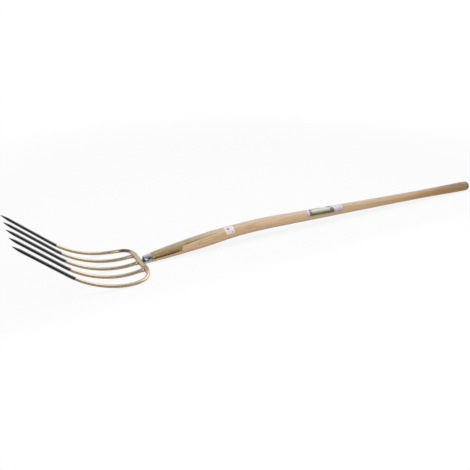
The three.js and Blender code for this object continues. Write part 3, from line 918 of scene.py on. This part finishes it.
def inner_radius(length):
    def radius(distance):
        return steel_radius(distance) + root_flare * smooth(1 - (length - distance) / root_flare_reach)

    return radius


for seed, (order, node) in enumerate(((-1, "near_inner_tine"), (0, "centre_tine"), (1, "far_inner_tine"))):
    spot, length = route([tine_point(order, s) + to_origin for s in spread(tine_length, 0, steel_step)])
    radius = inner_radius(length)
    tine = bar(spot, steel_stations(length, steel_step), radius, tine_sides)
    finish_mesh(tine, node + "_bar", node, gold)
    seat = length - weld_seat
    fillet(spot, seat, seat - weld_length, radius, weld_height, node + "_fillet", node + "_weld", seed)
    dip_coat(spot, node + "_coat", node + "_dip", seed)

# The outer tines' dipped ends
dip_coat(bow, "near_outer_tine_coat", "near_outer_tine_dip", 5)
dip_coat(bow_backwards, "far_outer_tine_coat", "far_outer_tine_dip", 6, setback=far_edge_setback)

# Tang: round at the crosspiece, then a square taper inside the handle
# The tang's dark tones are painted shade for the gap between the crosspiece and the ferrule.
tang_shaded_steel = lacquered_steel("tang_shaded_steel", tang_shade_tones, 0.4, metallic=0.7)
tang_start = Vector((root_x + shift, 0, root_height))
tang_entry, neck_direction = handle_route(end_setback)
tang_curve = [
    tang_start,
    tang_start + Vector((tang_arm, 0, tang_lift)),
    tang_entry - neck_direction * tang_arm,
    tang_entry,
]
tang_points = [bezier(*tang_curve, step / tang_bend_steps) for step in range(tang_bend_steps + 1)]
tang_points.append(handle_route(tang_depth)[0])
tang_spot, tang_length = route(tang_points)
tang_run = tang_length - (tang_depth - end_setback)


def tang_radius(distance):
    shank = mix(tang_root_radius, tang_shank, within(distance / (tang_run + square_run)))
    spike = within((distance - tang_run - square_run) / (tang_depth - end_setback - square_run))
    return mix(shank, tang_tip, spike)


def tang_relief(distance, angle):
    square = smooth((distance - tang_run) / square_run)
    flat = max(abs(math.cos(angle)), abs(math.sin(angle)))
    return tang_radius(distance) * (1 / flat - 1) * square * square_share, 0


tang_stations = spread(0, tang_run, tang_bend_step)
tang_stations += spread(tang_run + steel_step / 2, tang_length, steel_step)
tang_bar = bar(tang_spot, tang_stations, tang_radius, tang_sides, relief=tang_relief)
finish_mesh(tang_bar, "tang_bar", "tang", tang_shaded_steel)
tang_toe = weld_seat + tang_weld_length
fillet(tang_spot, weld_seat, tang_toe, tang_radius, tang_weld_height, "tang_fillet", "tang_weld", 9)

# Ferrule: the drawn-in nose, the ring with its rolled rear edge, and the bore
neck_frame = Matrix.Translation(handle_route(0)[0]) @ Matrix.Rotation(-neck_angle, 4, "Y")


def nose_arc(inset):
    """A quarter of an ellipse from the hole for the tang out to the ring."""
    points = []
    for step in range(nose_steps + 1):
        angle = step / nose_steps * math.pi / 2
        place = nose_run - (nose_run + nose_reach - inset) * math.cos(angle)
        points.append((place, mix(nose_hole, nose_radius - inset, math.sin(angle))))
    return points


ring = nose_arc(0)
ring += [(place, mix(nose_radius, ferrule_radius, share)) for place, share in crown_shares]
ring += [(ferrule_length - short, ferrule_radius - drop) for short, drop in rear_drops]
ring += [(ferrule_length, ferrule_bore + bore_bevel), (ferrule_length - bore_bevel, ferrule_bore)]
ring += nose_arc(ferrule_wall)[::-1] + [(-nose_reach, nose_hole)]
finish_mesh(turned(ring, ferrule_sides, neck_frame), "ferrule_ring", "ferrule", zinc_plate())


# Pin and nails, turned and set on the neck
def low_head(seat, radius, height):
    """The outline of a low round head, from its rim to its top."""
    return [(seat + height * rise, radius * wide) for rise, wide in head_shares]


pin_seat = ferrule_radius - pin_sink
head = [(pin_seat, pin_radius)] + low_head(pin_seat, pin_head_radius, pin_head_height)
pin = [(-place, radius) for place, radius in reversed(head)] + head
pin_frame = neck_frame @ Matrix.Translation((pin_place, 0, 0)) @ Matrix.Rotation(math.pi / 2, 4, "Z")
pin_work = turned(pin, pin_sides, pin_frame)
finish_mesh(pin_work, "ferrule_pin_rivet", "ferrule_pin", pin_plate())

strap_gold = strap_lacquer()
for node, place in nail_places.items():
    seat = strap_radius(place) - nail_sink
    shank = [(seat - nail_length, 0), (seat - nail_length + nail_point, nail_radius), (seat, nail_radius)]
    nail = shank + low_head(seat, nail_head_radius, nail_head_height)
    nail_frame = neck_frame @ Matrix.Translation((place, 0, 0)) @ Matrix.Rotation(-math.pi / 2, 4, "Y")
    nail_work = turned(nail, nail_sides, nail_frame)
    finish_mesh(nail_work, node + "_head", node, strap_gold)

# Handle, with the wood let in under the strap's wings
handle_stations = tenon_stations + [ferrule_length + fit + tenon_step]
handle_stations += spread(ferrule_length + 1 * MM, socket_place, neck_step)
handle_stations += spread(socket_place + 4 * MM, handle_length - butt_round, shaft_step)[:-1]
handle_stations += [handle_length - butt_round * (1 - share) for share in butt_shares]


def strap_bed(distance, angle):
    upper_half = abs(angle - math.pi / 2) < math.pi / 2 + bed_slack
    if not upper_half or not ferrule_length + fit < distance < wing_end - bed_setback:
        return 0, 0
    return min(strap_radius(distance) - strap_thickness - handle_radius(distance), 0), 0


handle_bar = bar(handle_route, handle_stations, handle_radius, handle_sides, relief=strap_bed)
finish_mesh(handle_bar, "ash_handle", "handle", ash_wood(), crease=50)


def lay_on(radius, lift=0, turn=0):
    """A sheet's place on the handle: along it, and round it from the top towards the near side."""

    def lay(along, round_way):
        place, direction = handle_route(along)
        side = direction.cross(UP).normalized()
        rise = side.cross(direction)
        angle = round_way / radius(along) + turn
        return place + (rise * math.cos(angle) + side * math.sin(angle)) * (radius(along) + lift)

    return lay


# Strap: wings over the neck's upper half, then the tongue with its round tip
def strap_outline():
    """The flat outline: places along the neck and distances round it, near half first."""

    def round_way(half_width, place):
        radius = strap_radius(place)
        return radius * math.asin(min(half_width / radius, 1))

    def wing(place):
        return strap_radius(place) * math.pi / 2 + wing_drop

    near = [(place, wing(place)) for place in spread(strap_front, wing_end, wing_step)]
    inner_corner = round_way(tongue_root, wing_end) + corner_fillet
    near += [(wing_end, mix(wing(wing_end), inner_corner, share)) for share in (0.35, 0.7)]
    for step in range(fillet_steps + 1):
        share = step / fillet_steps
        place = wing_end + corner_fillet * share**2
        near.append((place, inner_corner - corner_fillet * share * (2 - share)))
    tip_centre = tongue_end - tongue_tip
    taper_start = wing_end + corner_fillet
    for place in spread(taper_start, tip_centre, tongue_step)[1:-1]:
        share = (place - taper_start) / (tip_centre - taper_start)
        near.append((place, round_way(mix(tongue_root, tongue_tip, share), place)))
    for step in range(tip_steps + 1):
        angle = step / tip_steps * math.pi / 2
        place = tip_centre + tongue_tip * math.sin(angle)
        near.append((place, round_way(tongue_tip * math.cos(angle), place)))
    far = [(place, -distance) for place, distance in reversed(near[:-1])]
    return near + far


strap_sheet = wrapped(strap_outline(), strap_facets, lay_on(strap_radius), strap_thickness)
finish_mesh(strap_sheet, "neck_strap", "handle_strap", strap_gold, crease=35)


# Labels: a rounded rectangle of paper, and the wrap over the upper half
def rounded_sheet(start, length, wide, corner, facets, turn=0):
    outline = []
    for cx, cy, first in ((1, 1, 0), (0, 1, 1), (0, 0, 2), (1, 0, 3)):
        for step in range(corner_turns + 1):
            angle = (first + step / corner_turns) * math.pi / 2
            x = start + (length - corner if cx else corner) + corner * math.cos(angle)
            y = (wide / 2 - corner) * (1 if cy else -1) + corner * math.sin(angle)
            outline.append((x, y))
    return wrapped(outline, facets, lay_on(handle_radius, paper_lift, turn), paper_thickness)


sticker_paper = label(
    "sticker_paper",
    rgb(238, 232, 234),
    rgb(232, 218, 198),
    (0.3, 0.9),
    [
        ((0.10, 0.90, 0.10, 0.17), (196, 190, 206)),
        ((0.16, 0.52, 0.26, 0.48), (104, 108, 156)),
        ((0.62, 0.84, 0.30, 0.38), (206, 186, 204)),
        ((0.62, 0.76, 0.44, 0.50), (178, 160, 196)),
        ((0.14, 0.70, 0.62, 0.67), (200, 186, 178)),
        ((0.66, 0.82, 0.72, 0.86), (206, 108, 146)),
        ((0.00, 1.00, 0.96, 1.01), (178, 172, 150)),
    ],
)
sticker_radius = handle_radius(sticker_start + sticker_length / 2)
sticker_arc = 2 * sticker_radius * math.asin(sticker_width / 2 / sticker_radius)
sticker_edges = (sticker_start, sticker_length, sticker_arc, sticker_corner)
sticker_sheet = rounded_sheet(*sticker_edges, sticker_facets, sticker_turn)
finish_mesh(sticker_sheet, "small_sticker", "size_sticker", sticker_paper)

wrap_paper = label(
    "wrap_paper",
    rgb(214, 206, 208),
    rgb(178, 156, 132),
    (0.66, 0.9),
    [
        ((0.00, 0.06, -0.01, 1.01), (206, 186, 186)),
        ((0.02, 0.035, -0.01, 1.01), (142, 104, 96)),
        ((0.10, 0.17, 0.50, 0.93), (62, 50, 50)),
        ((0.12, 0.155, 0.60, 0.70), (176, 166, 170)),
        ((0.17, 0.76, 0.26, 0.43), (112, 110, 106)),
        ((0.17, 0.76, 0.43, 0.52), (152, 152, 144)),
        ((0.17, 0.76, 0.52, 0.71), (196, 198, 174)),
        ((0.17, 0.76, 0.71, 0.79), (144, 148, 98)),
        ((0.17, 0.76, 0.79, 0.92), (56, 54, 18)),
        ((0.26, 0.44, 0.80, 0.89), (92, 112, 24)),
        ((0.46, 0.58, 0.30, 0.58), (214, 212, 210)),
        ((0.62, 0.70, 0.36, 0.56), (52, 50, 58)),
        ((0.66, 0.76, 0.62, 0.80), (70, 58, 66)),
        ((0.82, 0.85, -0.01, 1.01), (200, 176, 196)),
        ((0.92, 0.95, -0.01, 1.01), (190, 160, 178)),
    ],
)
wrap_radius = handle_radius(wrap_start + wrap_length / 2)
wrap_arc = wrap_radius * 2 * math.acos(-wrap_drop / wrap_radius)
wrap_sheet = rounded_sheet(wrap_start, wrap_length, wrap_arc, wrap_corner, wrap_facets)
finish_mesh(wrap_sheet, "shaft_label", "wrap_label", wrap_paper)

# Floor, light and camera: the table ends in front of the fork, so the metal reflects the dim room there
table_front = -0.23
table_back = 3
table_side = 3
table_tone = 0.82
seen_white = 0.86
far_fade = (0.95, 2.0)
front_fade = (-0.12, table_front)
plain_white = (1, 1, 1, 1)
softbox_size = (2.4, 1.6)
softbox_energy = 36
softbox_place = Vector((-0.2, -0.5, 2.4))
soft_light = 0.55
room_dark = 0.05
window_height = math.radians(27)
window_angles = (50, 20)
window_strength = 1.9
lamp_direction = (-0.233, -0.902, 0.365)
lamp_angles = (12, 6)
lamp_strength = 7.5
camera_x, camera_y, camera_height = -0.403825, -1.227614, 0.686557
camera_turn = (0.5143814, 0.4380621, 0.0163306)
focal_pixels = 512.541
picture_pixels = 470
sensor_width = 36


def patch(tree, direction, towards, outer, inner, strength):
    """A bright round patch of the room about a direction, fading between two half-angles in degrees."""
    facing = add(tree, "VectorMath", {0: direction, 1: towards}, operation="DOT_PRODUCT").outputs["Value"]
    return ranged(tree, facing, math.cos(math.radians(outer)), math.cos(math.radians(inner)), 0, strength)


def backdrop(tree, colour, strength):
    return add(tree, "Background", {"Color": colour, "Strength": strength}).outputs[0]


def mixed(tree, share, below, above):
    return add(tree, "MixShader", {0: share, 1: below, 2: above}).outputs[0]


def studio_room():
    """White all round to the eye. In the metal the room is white behind the fork and dims towards the
    camera, with a broad window to the right and a small lamp beside the camera."""
    world = bpy.data.worlds.new("studio_room")
    bpy.context.scene.world = world
    world.use_nodes = True
    tree = world.node_tree
    tree.nodes.clear()
    direction = add(tree, "TexCoord").outputs["Generated"]
    _, y, _ = parts_of(tree, direction)
    wall = ranged(tree, y, -1, 1, room_dark, 1, soft=False)
    to_window = (math.cos(window_height), 0, math.sin(window_height))
    window = patch(tree, direction, to_window, *window_angles, window_strength)
    lamp = patch(tree, direction, lamp_direction, *lamp_angles, lamp_strength)
    reflected = calc(tree, "ADD", calc(tree, "ADD", wall, window), lamp)
    path = add(tree, "LightPath")
    eye = calc(tree, "MAXIMUM", path.outputs["Is Camera Ray"], path.outputs["Is Transmission Ray"])
    soft = backdrop(tree, plain_white, soft_light)
    mirrored = backdrop(tree, reflected, 1.0)
    room = mixed(tree, path.outputs["Is Glossy Ray"], soft, mirrored)
    shown = mixed(tree, eye, room, backdrop(tree, plain_white, 1.0))
    add(tree, "OutputWorld", {"Surface": shown})


def softbox():
    """One broad lamp overhead, for the soft light and the shadow under the fork."""
    lamp = bpy.data.lights.new("softbox", "AREA")
    lamp.shape = "RECTANGLE"
    lamp.size, lamp.size_y = softbox_size
    lamp.energy = softbox_energy
    box = in_scene("softbox", lamp)
    box.location = softbox_place
    box.rotation_euler = (-softbox_place).to_track_quat("-Z", "Y").to_euler()
    box.visible_glossy = False


def table_paint():
    """Matt white. It is seen partly as plain white, which keeps the fork's shadow, and wholly so far away
    and at the table's front edge."""
    paint, tree, shader = new_finish("pale_floor", 0.0, 0.9, specular=0.2)
    shader.inputs["Base Color"].default_value = (table_tone, table_tone, table_tone, 1)
    where = add(tree, "TexCoord").outputs["Object"]
    _, y, _ = parts_of(tree, where)
    away = add(tree, "VectorMath", {0: where}, operation="LENGTH").outputs["Value"]
    far_white = ranged(tree, away, *far_fade, seen_white, 1.0)
    front_white = ranged(tree, y, *front_fade, seen_white, 1.0)
    path = add(tree, "LightPath")
    seen = calc(tree, "MAXIMUM", path.outputs["Is Camera Ray"], path.outputs["Is Glossy Ray"])
    seen = calc(tree, "MAXIMUM", seen, path.outputs["Is Transmission Ray"])
    share = times(tree, calc(tree, "MAXIMUM", far_white, front_white), seen)
    glow = add(tree, "Emission", {"Color": plain_white, "Strength": 1.0}).outputs[0]
    both = mixed(tree, share, shader.outputs[0], glow)
    tree.links.new(both, tree.nodes["Material Output"].inputs["Surface"])
    return paint


def pale_floor():
    """The table is one face, stretched to its size."""
    ground = bmesh.new()
    bmesh.ops.create_grid(ground, x_segments=1, y_segments=1, size=1)
    stretch = Matrix.Diagonal((table_side, (table_back - table_front) / 2, 1, 1))
    place = Matrix.Translation((0, (table_back + table_front) / 2, 0))
    bmesh.ops.transform(ground, matrix=place @ stretch, verts=ground.verts)
    floor = mesh_object(ground, "floor", table_paint())


def place_camera():
    """The camera stands where the photograph's camera stood."""
    yaw, pitch, roll = camera_turn
    ahead = Vector((math.sin(yaw) * math.cos(pitch), math.cos(yaw) * math.cos(pitch), -math.sin(pitch)))
    level = Vector((math.cos(yaw), -math.sin(yaw), 0))
    top = level.cross(ahead)
    right = level * math.cos(roll) + top * math.sin(roll)
    above = top * math.cos(roll) - level * math.sin(roll)
    lens = bpy.data.cameras.new("camera")
    lens.sensor_width = sensor_width
    lens.lens = sensor_width * focal_pixels / picture_pixels
    lens.clip_end = 100
    camera = in_scene("camera", lens)
    turn = Matrix((right, above, -ahead)).transposed().to_4x4()
    camera.matrix_world = Matrix.Translation((camera_x + shift, camera_y, camera_height)) @ turn
    bpy.context.scene.camera = camera


studio_room()
softbox()
pale_floor()
place_camera()
bpy.context.scene.view_settings.view_transform = "Standard"
